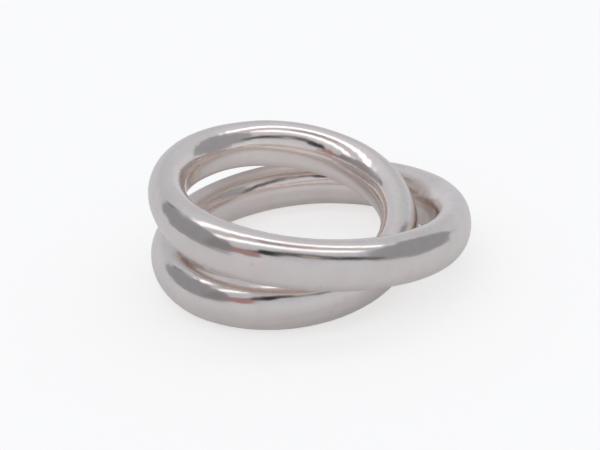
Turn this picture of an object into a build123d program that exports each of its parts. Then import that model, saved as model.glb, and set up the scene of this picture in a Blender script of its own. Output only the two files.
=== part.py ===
"""Silver ring: one endless strand of solid silver that winds twice round the finger.

At the right (+X) the two turns lie side by side, one inside the other. At the
left (-X) they lie one above the other. The ring is modelled at its real size in
millimetres, with +Z up. It lies on its side as it comes to rest by itself, and
the origin is on the surface below the middle of its outer box.
"""

import os
from math import cos, degrees, pi, sin

from build123d import *

os.makedirs("parts", exist_ok=True)

# Driving sizes, in millimetres
mean_bore = 20.4  # inside diameter of the turns, halfway between the inner and the outer one
strand_thickness = 3.5  # across the strand, from the finger outwards
strand_width = 4.65  # across the strand, along the finger
side_gap = 1.5  # clear width between the turns where they lie side by side
stack_gap = 3.1  # clear height between the turns where they lie one above the other
stack_ease = 0.17  # how much the strand's climb is eased off towards the stacked side

# Fineness of the model
section_count = 32  # sections that the strand is lofted through, over both turns
step_count = 720  # places along the strand that are tried when it is laid to rest
halving_count = 40  # times that the range of resting angles is narrowed

# Sizes that follow
two_turns = 4 * pi
turn_radius = (mean_bore + strand_thickness) / 2
side_swing = (strand_thickness + side_gap) / 2
stack_swing = (strand_width + stack_gap) / 2 + stack_ease


def strand_middle(angle):
    """The middle of the strand after it has wound through this angle from the right end.

    The distance from the ring's axis swings once out and in over the two turns, and
    the height swings once down and up.
    """
    radius = turn_radius + side_swing * cos(angle / 2)
    height = -stack_swing * sin(angle / 2) - stack_ease * sin(3 * angle / 2)
    return Vector(radius * cos(angle), radius * sin(angle), height)


def strand_heading(angle):
    """The direction of the strand there: the rate at which its middle moves."""
    radius = turn_radius + side_swing * cos(angle / 2)
    swing_rate = -side_swing / 2 * sin(angle / 2)
    climb_rate = -stack_swing / 2 * cos(angle / 2) - 3 * stack_ease / 2 * cos(3 * angle / 2)
    outward = Vector(cos(angle), sin(angle), 0)
    onward = Vector(-sin(angle), cos(angle), 0)
    return outward * swing_rate + onward * radius + Vector(0, 0, climb_rate)


def section_plane(angle):
    """The plane across the strand: X points away from the finger, Y along it."""
    heading = strand_heading(angle)
    return Plane(strand_middle(angle), x_dir=heading.cross(Vector(0, 0, 1)), z_dir=heading)


planes = [section_plane(two_turns * step / step_count) for step in range(step_count)]


def reach(direction):
    """How far the strand's oval surface reaches from the ring's centre in a direction."""
    distances = []
    for plane in planes:
        across = strand_thickness / 2 * plane.x_dir.dot(direction)
        along = strand_width / 2 * plane.y_dir.dot(direction)
        distances.append(plane.origin.dot(direction) + (across**2 + along**2) ** 0.5)
    return max(distances)


def balance_point():
    """The centre of mass, which lies on the X axis: turned half round it, the ring is the same."""
    weights = [strand_heading(two_turns * step / step_count).length for step in range(step_count)]
    moments = [weight * plane.origin.X for weight, plane in zip(weights, planes)]
    return Vector(sum(moments) / sum(weights), 0, 0)


balance = balance_point()


def up_when_tilted(tilt):
    """The direction that is up, as the ring sees it, when its right end is tilted down."""
    return Vector(-sin(tilt), 0, cos(tilt))


def balance_height(tilt):
    """Height of the centre of mass above the surface at this tilt, in radians."""
    up = up_when_tilted(tilt)
    return balance.dot(up) + reach(-up)


def resting_tilt():
    """The tilt at which the centre of mass is lowest, found by narrowing a range."""
    low, high = 0, pi / 4
    for _ in range(halving_count):
        third = (high - low) / 3
        if balance_height(low + third) < balance_height(high - third):
            high = high - third
        else:
            low = low + third
    return (low + high) / 2


# How the ring lies: its right end is down until it balances, and it touches the surface
tilt = resting_tilt()
up = up_when_tilted(tilt)
right = Vector(cos(tilt), 0, sin(tilt))
box_middle = (reach(right) - reach(-right)) / 2
at_rest = Location((-box_middle, 0, reach(-up)), (0, degrees(tilt), 0))

# The strand: oval sections across it, lofted into one closed loop
with BuildPart() as ring_band:
    sections = []
    for number in range(section_count):
        plane = section_plane(two_turns * number / section_count)
        with BuildSketch(Plane(at_rest * plane.location), mode=Mode.PRIVATE) as section:
            Ellipse(strand_thickness / 2, strand_width / 2)
        sections.append(section.sketch.face())
    loft(sections=[*sections, sections[0]])

ring_band.part.label = "ring_band"
export_step(ring_band.part, "parts/ring_band.step")

print(f"resting tilt {degrees(tilt):.2f} degrees")
print(f"volume {ring_band.part.volume:.1f} cubic millimetres")
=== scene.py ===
"""Looks of a worn silver ring: one endless oval strand that winds twice round the finger."""

from math import cos, pi, radians, sin

import bpy
import numpy as np
from mathutils import Matrix, Vector


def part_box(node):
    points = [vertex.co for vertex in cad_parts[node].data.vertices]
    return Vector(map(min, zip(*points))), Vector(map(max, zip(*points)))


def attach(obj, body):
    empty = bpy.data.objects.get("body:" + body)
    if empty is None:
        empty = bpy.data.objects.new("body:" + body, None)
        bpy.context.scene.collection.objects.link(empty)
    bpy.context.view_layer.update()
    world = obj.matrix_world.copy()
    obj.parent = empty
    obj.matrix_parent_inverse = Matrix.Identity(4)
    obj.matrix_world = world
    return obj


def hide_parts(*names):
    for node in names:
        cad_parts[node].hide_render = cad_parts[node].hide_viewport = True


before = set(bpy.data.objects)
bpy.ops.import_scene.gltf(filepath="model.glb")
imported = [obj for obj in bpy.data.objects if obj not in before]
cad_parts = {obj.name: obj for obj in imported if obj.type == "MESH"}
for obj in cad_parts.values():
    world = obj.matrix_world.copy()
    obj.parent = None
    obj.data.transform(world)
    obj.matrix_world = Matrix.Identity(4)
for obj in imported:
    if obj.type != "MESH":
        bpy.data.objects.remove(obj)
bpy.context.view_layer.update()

# The strand. The real ring is one rod of sterling silver with an oval section, bent
# round twice and soldered to itself, then polished. It has no other piece. It lies on
# its side with its right end tilted down, as it comes to rest by itself.
turn_radius = 0.01195  # from the ring's axis to the middle of the strand
side_swing = 0.0025  # how far that distance swings out and in over the two turns
side_gap = 0.0015  # clear width between the turns where they lie side by side
stack_swing = 0.004045  # how far the strand swings down and up over the two turns
stack_ease = 0.00017  # how much its climb is eased off towards the stacked side
half_thickness = 0.00175  # half of the oval section, from the finger outwards
half_width = 0.002325  # half of the oval section, along the finger
tilt = radians(5.93)  # how far the right end is tilted down as the ring rests


def unit(vectors):
    """The same directions, each with a length of 1."""
    return vectors / np.linalg.norm(vectors, axis=-1, keepdims=True)


def strand_line(wound):
    """The strand's middle line, over the angle that it has wound from the right end.

    The distance from the ring's axis is the turn radius plus the side swing times the
    cosine of half the angle. The height is minus the stack swing times the sine of half
    the angle, minus the ease times the sine of one and a half times the angle. Returns
    the points, and unit vectors outward from the finger and upward across the strand.
    """
    radius = turn_radius + side_swing * np.cos(wound / 2)
    height = -stack_swing * np.sin(wound / 2) - stack_ease * np.sin(3 * wound / 2)
    swing_rate = -side_swing / 2 * np.sin(wound / 2)
    climb_rate = -stack_swing / 2 * np.cos(wound / 2) - 1.5 * stack_ease * np.cos(3 * wound / 2)
    level = np.zeros_like(wound)
    out = np.stack([np.cos(wound), np.sin(wound), level], -1)
    onward = np.stack([-np.sin(wound), np.cos(wound), level], -1)
    upright = np.array([0.0, 0.0, 1.0])
    middle = out * radius[..., None] + upright * height[..., None]
    level_heading = out * swing_rate[..., None] + onward * radius[..., None]
    heading = unit(level_heading + upright * climb_rate[..., None])
    outward = unit(np.cross(heading, upright))
    upward = np.cross(outward, heading)
    return middle, outward, upward


def oval_normal(outward, upward, across, along):
    """The unit vector straight out of the oval.

    Across and along are the cosine and the sine of the angle round. The vector is the
    half width times across, outward, plus the half thickness times along, upward.
    """
    return unit(outward * half_width * across + upward * half_thickness * along)


def nearness(wound, place, reach):
    """Rises smoothly to 1 at a place on the strand. Place and reach are in half turns.

    It is e to the power of minus half the square of a number: 4 times the sine of a
    quarter of the angle from the place, over the reach. So it closes on itself.
    """
    return np.exp(-0.5 * (4 * np.sin((wound - place * pi) / 4) / (reach * pi)) ** 2)


# The waves that filing and polishing by hand leave, slow ones and fine ones. The crests
# of each, along the strand and round it, are whole numbers drawn by chance: along it
# from the fewest up, round it from none up, and both below their limit.
finish_seed = 7
finish_waves = [
    {"count": 14, "height": 0.000006, "fewest": 3, "limit": 40, "limit_round": 3},
    {"count": 12, "height": 0.0000025, "fewest": 60, "limit": 150, "limit_round": 6},
]


def hand_finish(wound, around):
    """How far the polished surface stands proud of a true oval, in metres.

    Each wave is the sine of half the angle wound times its crests along, plus the angle
    round times its crests round, plus a start drawn by chance. The waves are added up,
    each with their height over the square root of their count.
    """
    chance = np.random.default_rng(finish_seed)
    proud = np.zeros(wound.shape)
    for waves in finish_waves:
        for _ in range(waves["count"]):
            crests_along = chance.integers(waves["fewest"], waves["limit"])
            crests_round = chance.integers(0, waves["limit_round"])
            start = chance.uniform(0, 2 * pi)
            wave = np.sin(crests_along * wound / 2 + crests_round * around + start)
            proud += waves["height"] / np.sqrt(waves["count"]) * wave
    return proud


# Where the two turns were pressed together at the front. The places and the reach are
# in half turns wound from the right end. The swell is a share of the half width.
pressed_upper = 3.3
pressed_lower = 1.25
pressed_reach = 0.24
pressed_shift = 0.00012
pressed_swell = 0.02

# Where the bent rod departs a little from the true curve. Place and reach are in half
# turns wound from the right end. The shifts outward and upward and the growth of its
# half width are in millimetres, and lean turns the section's top inward, in degrees.
bends = [
    {"place": 3.08, "reach": 0.20, "outward": -0.13, "upward": 0.00, "wider": 0.00, "lean": 0},
    {"place": 1.00, "reach": 0.15, "outward": -0.05, "upward": 0.00, "wider": 0.00, "lean": 0},
    {"place": 0.72, "reach": 0.12, "outward": 0.00, "upward": -0.12, "wider": 0.00, "lean": 0},
    {"place": 0.12, "reach": 0.12, "outward": -0.20, "upward": -0.01, "wider": 0.14, "lean": -15},
    {"place": 1.78, "reach": 0.09, "outward": 0.00, "upward": -0.08, "wider": 0.00, "lean": 0},
    {"place": 2.35, "reach": 0.12, "outward": 0.00, "upward": -0.06, "wider": 0.00, "lean": 0},
    {"place": 3.84, "reach": 0.10, "outward": 0.00, "upward": -0.03, "wider": 0.04, "lean": 4},
    {"place": 1.21, "reach": 0.08, "outward": 0.09, "upward": -0.01, "wider": 0.00, "lean": 0},
    {"place": 1.95, "reach": 0.09, "outward": 0.07, "upward": 0.00, "wider": 0.00, "lean": 10},
    {"place": 0.10, "reach": 0.08, "outward": 0.00, "upward": -0.20, "wider": 0.15, "lean": 0},
    {"place": 2.27, "reach": 0.10, "outward": 0.00, "upward": 0.00, "wider": 0.00, "lean": -7},
    {"place": 2.67, "reach": 0.06, "outward": 0.00, "upward": 0.00, "wider": 0.00, "lean": 8},
    {"place": 3.27, "reach": 0.09, "outward": 0.00, "upward": -0.09, "wider": 0.12, "lean": 0},
    {"place": 3.09, "reach": 0.05, "outward": 0.00, "upward": 0.07, "wider": -0.07, "lean": 0},
]


def strand_surface(wound, around, handmade=1.0):
    """The strand's surface, over the angle wound and the angle round the section.

    The point is the middle of the strand, plus the half thickness times the cosine of
    the angle round, outward, plus the half width times its sine, upward. Where the two
    turns were pressed together, each is a little wider and nearer to the other. Each
    bend shifts the middle, widens the oval and leans it over, by its own amounts times
    the nearness to its place. The hand finish then moves the point along the oval's
    normal. With handmade at 0 it is the true form, as the CAD part has it.
    """
    middle, outward, upward = strand_line(wound)
    upper = handmade * nearness(wound, pressed_upper, pressed_reach)
    lower = handmade * nearness(wound, pressed_lower, pressed_reach)
    middle = middle + upward * (pressed_shift * (lower - upper))[..., None]
    width = (half_width * (1 + pressed_swell * (upper + lower)))[..., None]
    lean = 0.0
    for bend in bends:
        share = handmade * nearness(wound, bend["place"], bend["reach"])[..., None]
        middle = middle + share * (bend["outward"] * outward + bend["upward"] * upward) / 1000
        width = width + share * bend["wider"] / 1000
        lean = lean + share * radians(bend["lean"])
    outward, upward = (outward * np.cos(lean) + upward * np.sin(lean),
                       upward * np.cos(lean) - outward * np.sin(lean))
    across = np.cos(around)[..., None]
    along = np.sin(around)[..., None]
    point = middle + outward * half_thickness * across + upward * width * along
    proud = (handmade * hand_finish(wound, around))[..., None]
    return point + oval_normal(outward, upward, across, along) * proud


def laid_to_rest(points, true_points):
    """Turns the ring's right end down by the tilt and sets its true form in the CAD part's box."""
    turn = np.array(Matrix.Rotation(tilt, 3, "Y"))
    low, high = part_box("ring_band")
    target = [(low.x + high.x) / 2, (low.y + high.y) / 2, low.z]
    placed = true_points.reshape(-1, 3) @ turn.T
    lowest = placed.min(0)
    highest = placed.max(0)
    bottom = [(lowest[0] + highest[0]) / 2, (lowest[1] + highest[1]) / 2, lowest[2]]
    return points @ turn.T + np.array(target) - np.array(bottom)


def smooth_step(value, low, high):
    """Rises smoothly from 0 at low to 1 at high: 3 times the share's square less 2 times its cube."""
    share = np.clip((value - low) / (high - low), 0, 1)
    return share * share * (3 - 2 * share)


def finger_share(around):
    """How far a point is on the finger side, from 0 to 1: a smooth step of the inward direction."""
    return smooth_step(-np.cos(around), -0.45, 0.45)


# Where the two turns face each other closely, polishing misses the metal: it is browned by
# tarnish and by painted shade between the turns, and dulled. The share rises between two cosines
# of the angle to the other turn, and it fades with the clear gap between them.
facing_from = 0.72
facing_full = 0.96
outermost_later = 0.20  # how much later it begins on the outermost stretch
fading_gap = 0.0014


def shade_and_tarnish_share(wound, around):
    """How far a point looks straight at the other turn and lies near it, from 0 to 1.

    It is a smooth step of the cosine between its normal and the way to the other turn,
    times e to the power of minus the clear gap over the fading gap. It is weighted
    towards the outer turn by 0.5 plus 1.5 times the cosine of half the angle wound,
    kept from 0.1 to 1. Where that cosine nears 1, the step begins later.
    """
    middle, outward, upward = strand_line(wound)
    other, _, _ = strand_line(wound + 2 * pi)
    normal = oval_normal(outward, upward, np.cos(around)[..., None], np.sin(around)[..., None])
    away = other - middle
    apart = np.linalg.norm(away, axis=-1)
    facing = (normal * away).sum(-1) / apart
    clear = apart - 2 * half_thickness - side_gap
    outer_turn = np.clip(0.5 + 1.5 * np.cos(wound / 2), 0.1, 1)
    later = outermost_later * smooth_step(np.cos(wound / 2), 0.6, 0.95)
    looking = smooth_step(facing - later, facing_from, facing_full - 0.6 * later)
    return outer_turn * looking * np.exp(-np.clip(clear, 0, None) / fading_gap)


# Places worn dull, and places darkened partly by real stains and partly by painted shade under
# and between the turns. Place and reach along the strand are in half turns. From and to are
# angles round the section in degrees, with 90 on top and 180 on the finger side, and so are the
# rise and the fall, over which each spot begins and ends.
worn_and_shaded_spots = [
    {"place": 0.60, "reach": 0.13, "from": 35, "to": 130, "dull": 1.0, "stain_and_shade": 0.8},
    {"place": 2.20, "reach": 0.12, "from": 132, "to": 205, "dull": 0.0, "stain_and_shade": 0.4},
    {"place": 3.28, "reach": 0.10, "from": 280, "to": 333, "dull": 0.7, "stain_and_shade": 0.25},
    {"place": 1.15, "reach": 0.045, "from": 58, "to": 125, "dull": 0.0, "stain_and_shade": 0.85},
    {"place": 1.36, "reach": 0.04, "from": 50, "to": 110, "dull": 0.6, "stain_and_shade": 0.3},
    {"place": 1.19, "reach": 0.06, "from": 85, "to": 150, "dull": 0.8, "stain_and_shade": 0.5},
    {"place": 0.07, "reach": 0.05, "from": 175, "to": 240, "dull": 0.0, "stain_and_shade": 0.4},
    {"place": 3.235, "reach": 0.018, "from": 35, "to": 90, "dull": 0.4, "stain_and_shade": 0.0},
]
spot_rise = 25
spot_fall = 12


def spots_share(wound, around, kind):
    """How dull the surface is, or how darkened by stains and painted shade, from 0 to 1: the sum over
    the spots.

    Each spot is its nearness along the strand, times a smooth rise and a smooth fall
    round the section.
    """
    total = np.zeros(wound.shape)
    for spot in worn_and_shaded_spots:
        along = nearness(wound, spot["place"], spot["reach"])
        rising = smooth_step(around, radians(spot["from"]), radians(spot["from"] + spot_rise))
        falling = smooth_step(around, radians(spot["to"]), radians(spot["to"] - spot_fall))
        total += spot[kind] * along * rising * falling
    return total


def closed_surface(name, points, shares):
    """A mesh from a grid of points that closes on itself both ways, with a UV map.

    U runs once along the strand and V once round it. Each face keeps its own UV
    corners, so the last face before the seam runs up to 1. Shares are named numbers
    for each point, which the material reads.
    """
    rows, columns = points.shape[:2]
    row, column = np.meshgrid(np.arange(rows), np.arange(columns), indexing="ij")
    corners = [(row, column), (row + 1, column), (row + 1, column + 1), (row, column + 1)]
    faces = np.stack([(r % rows) * columns + c % columns for r, c in corners], -1)
    places = np.stack([np.stack([r / rows, c / columns], -1) for r, c in corners], -2)
    mesh = bpy.data.meshes.new(name)
    mesh.from_pydata(points.reshape(-1, 3).tolist(), [], faces.reshape(-1, 4).tolist())
    uv_map = mesh.uv_layers.new(name="strand")
    uv_map.data.foreach_set("uv", places.reshape(-1).astype(np.float32))
    for share, values in shares.items():
        attribute = mesh.attributes.new(share, "FLOAT", "POINT")
        attribute.data.foreach_set("value", values.reshape(-1).astype(np.float32))
    mesh.shade_smooth()
    piece = bpy.data.objects.new(name, mesh)
    bpy.context.scene.collection.objects.link(piece)
    return piece


steps_along = 1200
steps_round = 80
wound = np.linspace(0, 4 * pi, steps_along, endpoint=False)[:, None]
around = np.linspace(0, 2 * pi, steps_round, endpoint=False)[None, :]
wound, around = np.broadcast_arrays(wound, around)
surface = laid_to_rest(strand_surface(wound, around), strand_surface(wound, around, handmade=0.0))
ring = closed_surface("ring_strand", surface, {
    "finger_side": finger_share(around),
    "shade_and_tarnish": shade_and_tarnish_share(wound, around),
    "rubbed": spots_share(wound, around, "dull"),
    "stain_and_shade": spots_share(wound, around, "stain_and_shade"),
})

# Its colours as metal. The finger side's silver is painted lighter and warmer, standing in for
# the brighter, warmer reflections there. The three tarnishes are thin films, which the silver's
# own colour is multiplied by. The browns cover it: real tarnish and stains, with painted shade
# between and under the turns. The dark of the pits is a thicker film that covers it too.
outer_silver = (0.875, 0.81, 0.77)
finger_silver_painted_lighter = (0.97, 0.89, 0.845)
grey_tarnish = (0.94, 0.93, 0.94)
rose_tarnish = (1.0, 0.955, 0.965)
green_tarnish = (0.965, 1.0, 0.985)
shade_and_tarnish_brown = (0.53, 0.41, 0.33)
stain_and_shade_brown = (0.52, 0.43, 0.39)
pit_dark = (0.30, 0.27, 0.25)

# The width of its cloudy patches, films and pits, and the depth of its fine relief.
patch_width = 0.0022
rose_width = 0.0013
green_width = 0.0017
pit_width = 0.00035
relief_depth = 0.000002

silver = bpy.data.materials.new("worn_silver")
silver.use_nodes = True
silver_nodes = silver.node_tree.nodes
silver_links = silver.node_tree.links
shader = silver_nodes["Principled BSDF"]
shader.inputs["Metallic"].default_value = 1.0
place_in_metal = silver_nodes.new("ShaderNodeTexCoord")


def share_of(name):
    """The share that the mesh carries under this name."""
    node = silver_nodes.new("ShaderNodeAttribute")
    node.attribute_name = name
    return node.outputs["Fac"]


def cloudy(width, detail):
    """Cloudy noise from 0 to 1 in the metal, with patches about this many metres across."""
    node = silver_nodes.new("ShaderNodeTexNoise")
    node.inputs["Scale"].default_value = 1 / width
    node.inputs["Detail"].default_value = detail
    silver_links.new(place_in_metal.outputs["Object"], node.inputs["Vector"])
    return node.outputs["Fac"]


def stepped(value, low, high, out_low=0.0, out_high=1.0):
    """Carries a value smoothly from one range to another."""
    node = silver_nodes.new("ShaderNodeMapRange")
    node.interpolation_type = "SMOOTHSTEP"
    node.inputs["From Min"].default_value = low
    node.inputs["From Max"].default_value = high
    node.inputs["To Min"].default_value = out_low
    node.inputs["To Max"].default_value = out_high
    silver_links.new(value, node.inputs["Value"])
    return node.outputs["Result"]


def worked(operation, first, second=0.0):
    """One sum, product or other step of arithmetic. Each side is a number or a socket."""
    node = silver_nodes.new("ShaderNodeMath")
    node.operation = operation
    for socket, value in zip(node.inputs, (first, second)):
        if isinstance(value, (int, float)):
            socket.default_value = value
        else:
            silver_links.new(value, socket)
    return node.outputs["Value"]


def blended(share, first, second, mode="MIX"):
    """Two colours mixed by a share. Each is a colour or a socket."""
    node = silver_nodes.new("ShaderNodeMix")
    node.data_type = "RGBA"
    node.blend_type = mode
    silver_links.new(share, node.inputs["Factor"])
    # A colour mix has its two colours in its sockets 6 and 7, and its result in output 2.
    for socket, value in ((node.inputs[6], first), (node.inputs[7], second)):
        if isinstance(value, tuple):
            socket.default_value = (*value, 1.0)
        else:
            silver_links.new(value, socket)
    return node.outputs[2]


def brushed(turns_along, turns_round, fine, coarse):
    """Noise drawn out in lines over the closed surface.

    It is read on a circle of radius fine, at the angle 2 pi times the sum of turns along
    times U and turns round times V, and on a second circle of radius coarse, at 2 pi
    times U. Both circles close on themselves, so it has no seam.
    """
    uv = silver_nodes.new("ShaderNodeUVMap")
    uv.uv_map = "strand"
    parts = silver_nodes.new("ShaderNodeSeparateXYZ")
    silver_links.new(uv.outputs["UV"], parts.inputs["Vector"])
    along = worked("MULTIPLY", parts.outputs["X"], turns_along)
    across = worked("MULTIPLY", parts.outputs["Y"], turns_round)
    angle = worked("MULTIPLY", worked("ADD", along, across), 2 * pi)
    slow = worked("MULTIPLY", parts.outputs["X"], 2 * pi)
    point = silver_nodes.new("ShaderNodeCombineXYZ")
    silver_links.new(worked("MULTIPLY", worked("COSINE", angle), fine), point.inputs["X"])
    silver_links.new(worked("MULTIPLY", worked("SINE", angle), fine), point.inputs["Y"])
    silver_links.new(worked("MULTIPLY", worked("COSINE", slow), coarse), point.inputs["Z"])
    node = silver_nodes.new("ShaderNodeTexNoise")
    node.noise_dimensions = "4D"
    node.inputs["Scale"].default_value = 1.0
    node.inputs["Detail"].default_value = 2.0
    silver_links.new(point.outputs["Vector"], node.inputs["Vector"])
    silver_links.new(worked("MULTIPLY", worked("SINE", slow), coarse), node.inputs["W"])
    return node.outputs["Fac"]


shade_and_tarnish = share_of("shade_and_tarnish")
patches = cloudy(patch_width, detail=3.0)
rose_film = stepped(cloudy(rose_width, detail=2.0), 0.45, 0.65, 0.0, 0.7)
green_film = stepped(cloudy(green_width, detail=2.0), 0.45, 0.65, 0.0, 0.7)
pits = stepped(cloudy(pit_width, detail=2.0), 0.70, 0.79, 0.0, 0.45)
lines = brushed(turns_along=0, turns_round=1, fine=38.0, coarse=7.0)
slanting_lines = brushed(turns_along=3, turns_round=1, fine=30.0, coarse=16.0)

# The colour: clean metal, painted lighter and warmer on the finger side, then the thin films, then
# brown tarnish and painted shade where the turns face each other, then the stains and painted
# shade of the spots, and last the dark of the pits.
colour = blended(share_of("finger_side"), outer_silver, finger_silver_painted_lighter)
colour = blended(stepped(patches, 0.35, 0.65, 0.0, 0.5), colour, grey_tarnish, "MULTIPLY")
colour = blended(rose_film, colour, rose_tarnish, "MULTIPLY")
colour = blended(green_film, colour, green_tarnish, "MULTIPLY")
browned = worked("MULTIPLY", shade_and_tarnish, stepped(patches, 0.25, 0.6, 0.65, 1.0))
colour = blended(browned, colour, shade_and_tarnish_brown)
colour = blended(share_of("stain_and_shade"), colour, stain_and_shade_brown)
colour = blended(pits, colour, pit_dark)
silver_links.new(colour, shader.inputs["Base Color"])

# The roughness: a polish that varies in patches, with fine lines in it, a little duller
# where the turns shelter each other and much duller where it is rubbed.
rough = stepped(patches, 0.3, 0.7, 0.11, 0.17)
rough = worked("ADD", rough, worked("MULTIPLY", stepped(lines, 0.3, 0.7), 0.03))
rough = worked("ADD", rough, worked("MULTIPLY", shade_and_tarnish, 0.08))
rough = worked("ADD", rough, worked("MULTIPLY", share_of("rubbed"), 0.33))
silver_links.new(rough, shader.inputs["Roughness"])

# The relief: half of each set of polishing lines, less the pits.
relief = worked("ADD", worked("MULTIPLY", lines, 0.5), worked("MULTIPLY", slanting_lines, 0.5))
relief = worked("ADD", relief, worked("MULTIPLY", pits, -1.0))
bump = silver_nodes.new("ShaderNodeBump")
bump.inputs["Strength"].default_value = 1.0
bump.inputs["Distance"].default_value = relief_depth
silver_links.new(relief, bump.inputs["Height"])
silver_links.new(bump.outputs["Normal"], shader.inputs["Normal"])
ring.data.materials.append(silver)

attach(ring, "root")
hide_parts("ring_band")

# The surface below. A sheet of matt white card that the ring lies on, large enough that
# no view sees its edge. The silver sees a greyer sheet in its place, because the
# photograph's reflections of the surface are deeper than the surface itself.
sheet_half = 1.6
mirrored_height = 0.00001


def sheet(name, height, colour, own_light):
    """A level square sheet of card with a little light of its own, as if lit from below."""
    mesh = bpy.data.meshes.new(name)
    sides = [(-1, -1), (1, -1), (1, 1), (-1, 1)]
    corners = [(x * sheet_half, y * sheet_half, height) for x, y in sides]
    mesh.from_pydata(corners, [], [(0, 1, 2, 3)])
    piece = bpy.data.objects.new(name, mesh)
    bpy.context.scene.collection.objects.link(piece)
    card = bpy.data.materials.new(name)
    card.use_nodes = True
    card_shader = card.node_tree.nodes["Principled BSDF"]
    card_shader.inputs["Base Color"].default_value = (*colour, 1.0)
    card_shader.inputs["Emission Color"].default_value = (*own_light, 1.0)
    card_shader.inputs["Emission Strength"].default_value = 1.0
    card_shader.inputs["Roughness"].default_value = 0.4
    card_shader.inputs["Specular IOR Level"].default_value = 0.0
    mesh.materials.append(card)
    return piece


floor = sheet("floor", height=0.0, colour=(0.46, 0.456, 0.453), own_light=(0.63, 0.627, 0.62))
floor.visible_glossy = False
mirrored = sheet("mirrored_floor", height=mirrored_height,
                 colour=(0.62, 0.613, 0.606), own_light=(0.165, 0.170, 0.176))
mirrored.visible_camera = False
mirrored.visible_diffuse = False
mirrored.visible_shadow = False

# The light tent round the ring: pale cloth all round, two strip lights and a beam in
# its roof, dark grey side walls, the grey table beyond the white card at both sides,
# and darker cards in its open front. The panels show only as reflections in the silver.
world = bpy.data.worlds.new("tent")
world.use_nodes = True
world_nodes = world.node_tree.nodes
world_links = world.node_tree.links
direction = world_nodes.new("ShaderNodeTexCoord")
direction_parts = world_nodes.new("ShaderNodeSeparateXYZ")

# The cloth's brightness by the upward part of the direction: 0 is level, 1 straight up.
cloth_levels = [(0.0, 0.86), (0.2, 0.83), (0.35, 0.77), (0.65, 0.78), (0.8, 0.85), (1.0, 0.86)]
cloth_tint = (0.698, 0.727, 0.783)
ramp = world_nodes.new("ShaderNodeValToRGB")
ramp.color_ramp.interpolation = "EASE"
while len(ramp.color_ramp.elements) < len(cloth_levels):
    ramp.color_ramp.elements.new(0.5)
for stop, (height, level) in zip(ramp.color_ramp.elements, cloth_levels):
    stop.position = height
    stop.color = (*(level * part for part in cloth_tint), 1.0)
world_links.new(direction.outputs["Generated"], direction_parts.inputs["Vector"])
world_links.new(direction_parts.outputs["Z"], ramp.inputs["Fac"])
world_links.new(ramp.outputs["Color"], world_nodes["Background"].inputs["Color"])
bpy.context.scene.world = world

roof_height = 1.0
strip_strength = 0.79


def strip_light(name, centre, size):
    """A flat lamp in the roof that faces down. Its power is pi times its area times its strength."""
    lamp = bpy.data.lights.new(name, "AREA")
    lamp.shape = "RECTANGLE"
    lamp.size, lamp.size_y = size
    lamp.energy = pi * size[0] * size[1] * strip_strength
    lamp.color = (1.0, 0.98, 1.0)
    holder = bpy.data.objects.new(name, lamp)
    holder.location = centre
    holder.visible_camera = False
    bpy.context.scene.collection.objects.link(holder)


strip_light("strip_back", centre=(-0.05, 0.095, roof_height), size=(1.98, 0.25))
strip_light("strip_front", centre=(-0.12, -0.51, roof_height), size=(2.10, 0.24))


def tent_cloth(name, colour, soft):
    """Cloth of one shade that fades out smoothly towards its edge.

    The share of the way inward is 1 less the length of the UV, which is 0 at the middle
    and 1 at the edge. The cloth is clear at a share of 0 and solid from the share soft.
    """
    cloth = bpy.data.materials.new(name)
    cloth.use_nodes = True
    nodes = cloth.node_tree.nodes
    links = cloth.node_tree.links
    nodes.clear()
    glow = nodes.new("ShaderNodeEmission")
    glow.inputs["Color"].default_value = (*colour, 1.0)
    place = nodes.new("ShaderNodeUVMap")
    place.uv_map = "panel"
    fade = nodes.new("ShaderNodeTexGradient")
    fade.gradient_type = "SPHERICAL"
    edge = nodes.new("ShaderNodeMapRange")
    edge.interpolation_type = "SMOOTHSTEP"
    edge.inputs["From Max"].default_value = soft
    clear = nodes.new("ShaderNodeBsdfTransparent")
    mix = nodes.new("ShaderNodeMixShader")
    output = nodes.new("ShaderNodeOutputMaterial")
    links.new(place.outputs["UV"], fade.inputs["Vector"])
    links.new(fade.outputs["Fac"], edge.inputs["Value"])
    links.new(edge.outputs["Result"], mix.inputs["Fac"])
    links.new(clear.outputs["BSDF"], mix.inputs[1])
    links.new(glow.outputs["Emission"], mix.inputs[2])
    links.new(mix.outputs["Shader"], output.inputs["Surface"])
    return cloth


def reflected_panel(name, corners, faces, places, cloth):
    """A part of the tent that shows only as a reflection in the silver. Places are its UV corners."""
    mesh = bpy.data.meshes.new(name)
    mesh.from_pydata(corners, [], faces)
    uv_map = mesh.uv_layers.new(name="panel")
    uv_map.data.foreach_set("uv", np.asarray(places, dtype=np.float32).reshape(-1))
    mesh.materials.append(cloth)
    panel = bpy.data.objects.new(name, mesh)
    bpy.context.scene.collection.objects.link(panel)
    panel.visible_camera = False
    panel.visible_diffuse = False
    panel.visible_shadow = False


def flat_panel(name, corners, colour):
    """A flat panel from the x, y and z of its corners in order. Its UV is all 0, so it doesn't fade."""
    places = [0.0] * (2 * len(corners))
    face = tuple(range(len(corners)))
    reflected_panel(name, corners, [face], places, tent_cloth(name, colour, soft=0.001))


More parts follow.
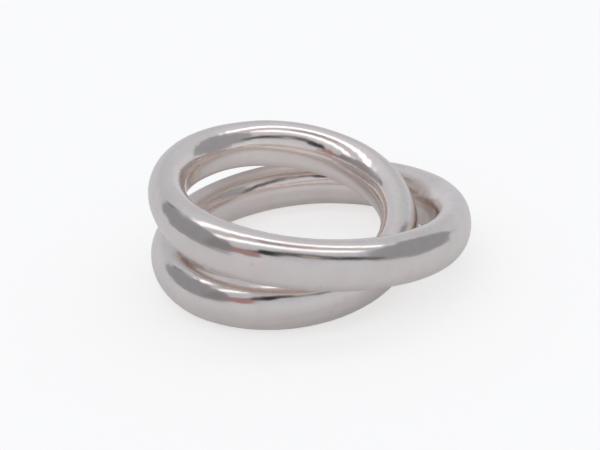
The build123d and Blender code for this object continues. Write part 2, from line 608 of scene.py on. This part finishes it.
# The side walls, by the y and z of their corners, and the table strips below them, by x
# and y. The table lies just above the card.
wall_out = 0.97
table_height = 0.0001
left_grey = (0.290, 0.300, 0.325)
left_front_grey = (0.235, 0.228, 0.240)
right_grey = (0.300, 0.311, 0.336)
left_back_outline = [(-0.3, 0.0), (0.32, 0.0), (0.52, 0.05), (0.62, 0.2), (0.63, 0.4),
                     (0.56, 0.75), (0.42, 0.93), (-0.2, 0.91), (-0.32, 0.84), (-0.45, 0.82)]
left_front_outline = [(-0.3, 0.0), (-0.45, 0.82), (-0.6, 0.80), (-0.85, 0.51),
                      (-0.92, 0.34), (-0.83, 0.15), (-0.65, 0.05)]
right_outline = [(-0.6, 0.0), (0.55, 0.0), (0.55, 0.34), (0.54, 0.72), (0.44, 0.90), (0.0, 0.90),
                 (-0.40, 0.90), (-0.62, 0.80), (-0.84, 0.52), (-1.02, 0.34), (-0.87, 0.09)]
table_left_outline = [(-wall_out, 0.35), (-wall_out, -0.72), (-0.10, -0.08), (-0.10, 0.02)]
table_right_outline = [(wall_out, 0.44), (0.048, 0.004), (0.060, -0.026), (wall_out, -0.48)]
flat_panel("wall_left_back", [(-wall_out, y, z) for y, z in left_back_outline], left_grey)
flat_panel("wall_left_front", [(-wall_out, y, z) for y, z in left_front_outline], left_front_grey)
flat_panel("wall_right", [(wall_out, y, z) for y, z in right_outline], right_grey)
flat_panel("table_left", [(x, y, table_height) for x, y in table_left_outline], left_grey)
flat_panel("table_right", [(x, y, table_height) for x, y in table_right_outline], right_grey)

# The beam between the two strip lights, in three lengths of their own shade.
beam_height = 0.98
beam_front = -0.34
beam_back = -0.05
beam_lengths = [
    {"name": "roof_beam_left", "start": -0.9, "end": -0.2, "colour": (0.50, 0.505, 0.53)},
    {"name": "roof_beam_middle", "start": -0.2, "end": 0.25, "colour": (0.32, 0.30, 0.30)},
    {"name": "roof_beam_right", "start": 0.25, "end": 0.97, "colour": (0.50, 0.495, 0.50)},
]
for beam in beam_lengths:
    outline = [(beam["start"], beam_front), (beam["end"], beam_front),
               (beam["end"], beam_back), (beam["start"], beam_back)]
    flat_panel(beam["name"], [(x, y, beam_height) for x, y in outline], beam["colour"])

card_middle = (0.0, 0.0, 0.006)  # the point that the cards and the rim face
steps_a_row = 10


def arched_rim(name, course, colour, soft, distance):
    """A band that bends along a course of rows: azimuth, elevation and half width, in degrees.

    Its middle line lies at the distance from the card middle, in the directions that
    the rows give, with even steps between them. Its two edges lie to each side, further
    by the distance times the half width. It fades out towards its edges and its ends.
    """
    rows = np.array(course)
    step = np.arange(len(rows))
    fine = np.linspace(0, len(rows) - 1, steps_a_row * len(rows))
    a, e, half = (np.radians(np.interp(fine, step, rows[:, column])) for column in range(3))
    towards = np.stack([np.sin(a) * np.cos(e), np.cos(a) * np.cos(e), np.sin(e)], -1)
    across = unit(np.cross(np.gradient(towards, axis=0), towards))
    edges = [distance * (towards + across * (side * half)[:, None]) for side in (-1, 1)]
    corners = np.concatenate(edges) + card_middle
    count = len(fine)
    number = np.arange(count - 1)
    faces = np.stack([number, number + 1, number + 1 + count, number + count], -1)
    end = np.abs(fine / (len(rows) - 1) * 2 - 1) ** 8
    low = -np.ones(count - 1)
    high = np.ones(count - 1)
    places = np.stack([end[:-1], low, end[1:], low, end[1:], high, end[:-1], high], -1)
    reflected_panel(name, corners.tolist(), faces.tolist(), places, tent_cloth(name, colour, soft))


def oval_card(name, azimuth, elevation, half_wide, half_high, lean, colour, soft, distance):
    """An oval card that faces the ring, with a soft edge.

    Its centre lies at the distance from the card middle. Azimuth is from +Y towards +X,
    and all angles are in degrees. Its half sizes are the distance times the angles that
    they are seen under. Lean turns it clockwise, as the ring sees it.
    """
    a = radians(azimuth)
    e = radians(elevation)
    towards = Vector((sin(a) * cos(e), cos(a) * cos(e), sin(e)))
    right = Vector((cos(a), -sin(a), 0.0))
    up = right.cross(towards)
    turned = Matrix.Rotation(radians(lean), 3, towards)
    wide = turned @ right * (distance * radians(half_wide))
    high = turned @ up * (distance * radians(half_high))
    centre = towards * distance + Vector(card_middle)
    corners = [centre - wide - high, centre + wide - high, centre + wide + high, centre - wide + high]
    places = [-1, -1, 1, -1, 1, 1, -1, 1]
    reflected_panel(name, corners, [(0, 1, 2, 3)], places, tent_cloth(name, colour, soft))


# The dark rim of the tent's open front, and the cards that stand before it. The course
# of the rim has the azimuth, elevation and half width of each row, in degrees.
rim_course = [(122, 8, 4), (133, 15.5, 6.5), (144, 22, 8), (157, 28, 9.5), (169, 34.5, 11),
              (182, 37.5, 11), (192, 36, 9), (203, 31, 7), (216, 22, 6), (228, 12, 6)]
arched_rim("front_rim", rim_course, colour=(0.085, 0.080, 0.084), soft=0.6, distance=0.9)
oval_card("beige_card", azimuth=169, elevation=32, half_wide=10, half_high=4, lean=-28,
          colour=(0.43, 0.40, 0.34), soft=0.4, distance=0.8)
oval_card("black_card", azimuth=-158, elevation=30, half_wide=10, half_high=11, lean=0,
          colour=(0.02, 0.018, 0.02), soft=0.35, distance=0.7)
oval_card("brown_card", azimuth=-140, elevation=16, half_wide=13, half_high=11, lean=-18,
          colour=(0.36, 0.215, 0.205), soft=0.3, distance=0.75)
oval_card("dark_card", azimuth=143, elevation=23, half_wide=12, half_high=8, lean=-30,
          colour=(0.05, 0.035, 0.035), soft=0.5, distance=0.8)

# A dark pole and a pale haze at the upper edge of the left wall.
oval_card("dark_pole", azimuth=-59, elevation=31, half_wide=3.2, half_high=9, lean=-12,
          colour=(0.13, 0.13, 0.14), soft=0.6, distance=0.85)
oval_card("pale_haze", azimuth=-72, elevation=38, half_wide=10, half_high=5.5, lean=0,
          colour=(0.43, 0.44, 0.47), soft=0.9, distance=0.8)

# The camera, at the photograph's angle to the ring. It is turned a little about its own
# line of sight, because the ring in the photograph leans against the picture's edge.
# Its angles are in radians from the ring's own axis, and its aim is in turn radii.
camera_distance = 13.7292 * turn_radius
camera_azimuth = 0.0402
camera_elevation = 0.4799
ring_middle = Vector((-0.0010125, 0.0, 0.0053064))  # on the axis, halfway between the turns
aim_right = 0.0228
aim_up = -0.0371
picture_width = 600
lens_pixels = 1764
sensor_width = 36.0
tilted = Matrix.Rotation(tilt, 3, "Y")
forward = tilted @ Vector((sin(camera_azimuth) * cos(camera_elevation),
                           cos(camera_azimuth) * cos(camera_elevation),
                           -sin(camera_elevation)))
sideways = tilted @ Vector((cos(camera_azimuth), -sin(camera_azimuth), 0.0))
upwards = sideways.cross(forward)
stand = ring_middle - camera_distance * forward
aim = ring_middle + turn_radius * (aim_right * sideways + aim_up * upwards)
sight = (aim - stand).normalized()
sideways = (sideways - sideways.dot(sight) * sight).normalized()
upwards = sideways.cross(sight)
camera = bpy.data.objects.new("camera", bpy.data.cameras.new("camera"))
camera.data.sensor_width = sensor_width
camera.data.lens = lens_pixels / picture_width * sensor_width
camera.data.clip_start = 0.005
turn = Matrix((sideways, upwards, -sight)).transposed()
camera.matrix_world = Matrix.Translation(stand) @ turn.to_4x4()
bpy.context.scene.collection.objects.link(camera)
bpy.context.scene.camera = camera
bpy.context.scene.view_settings.view_transform = "Standard"
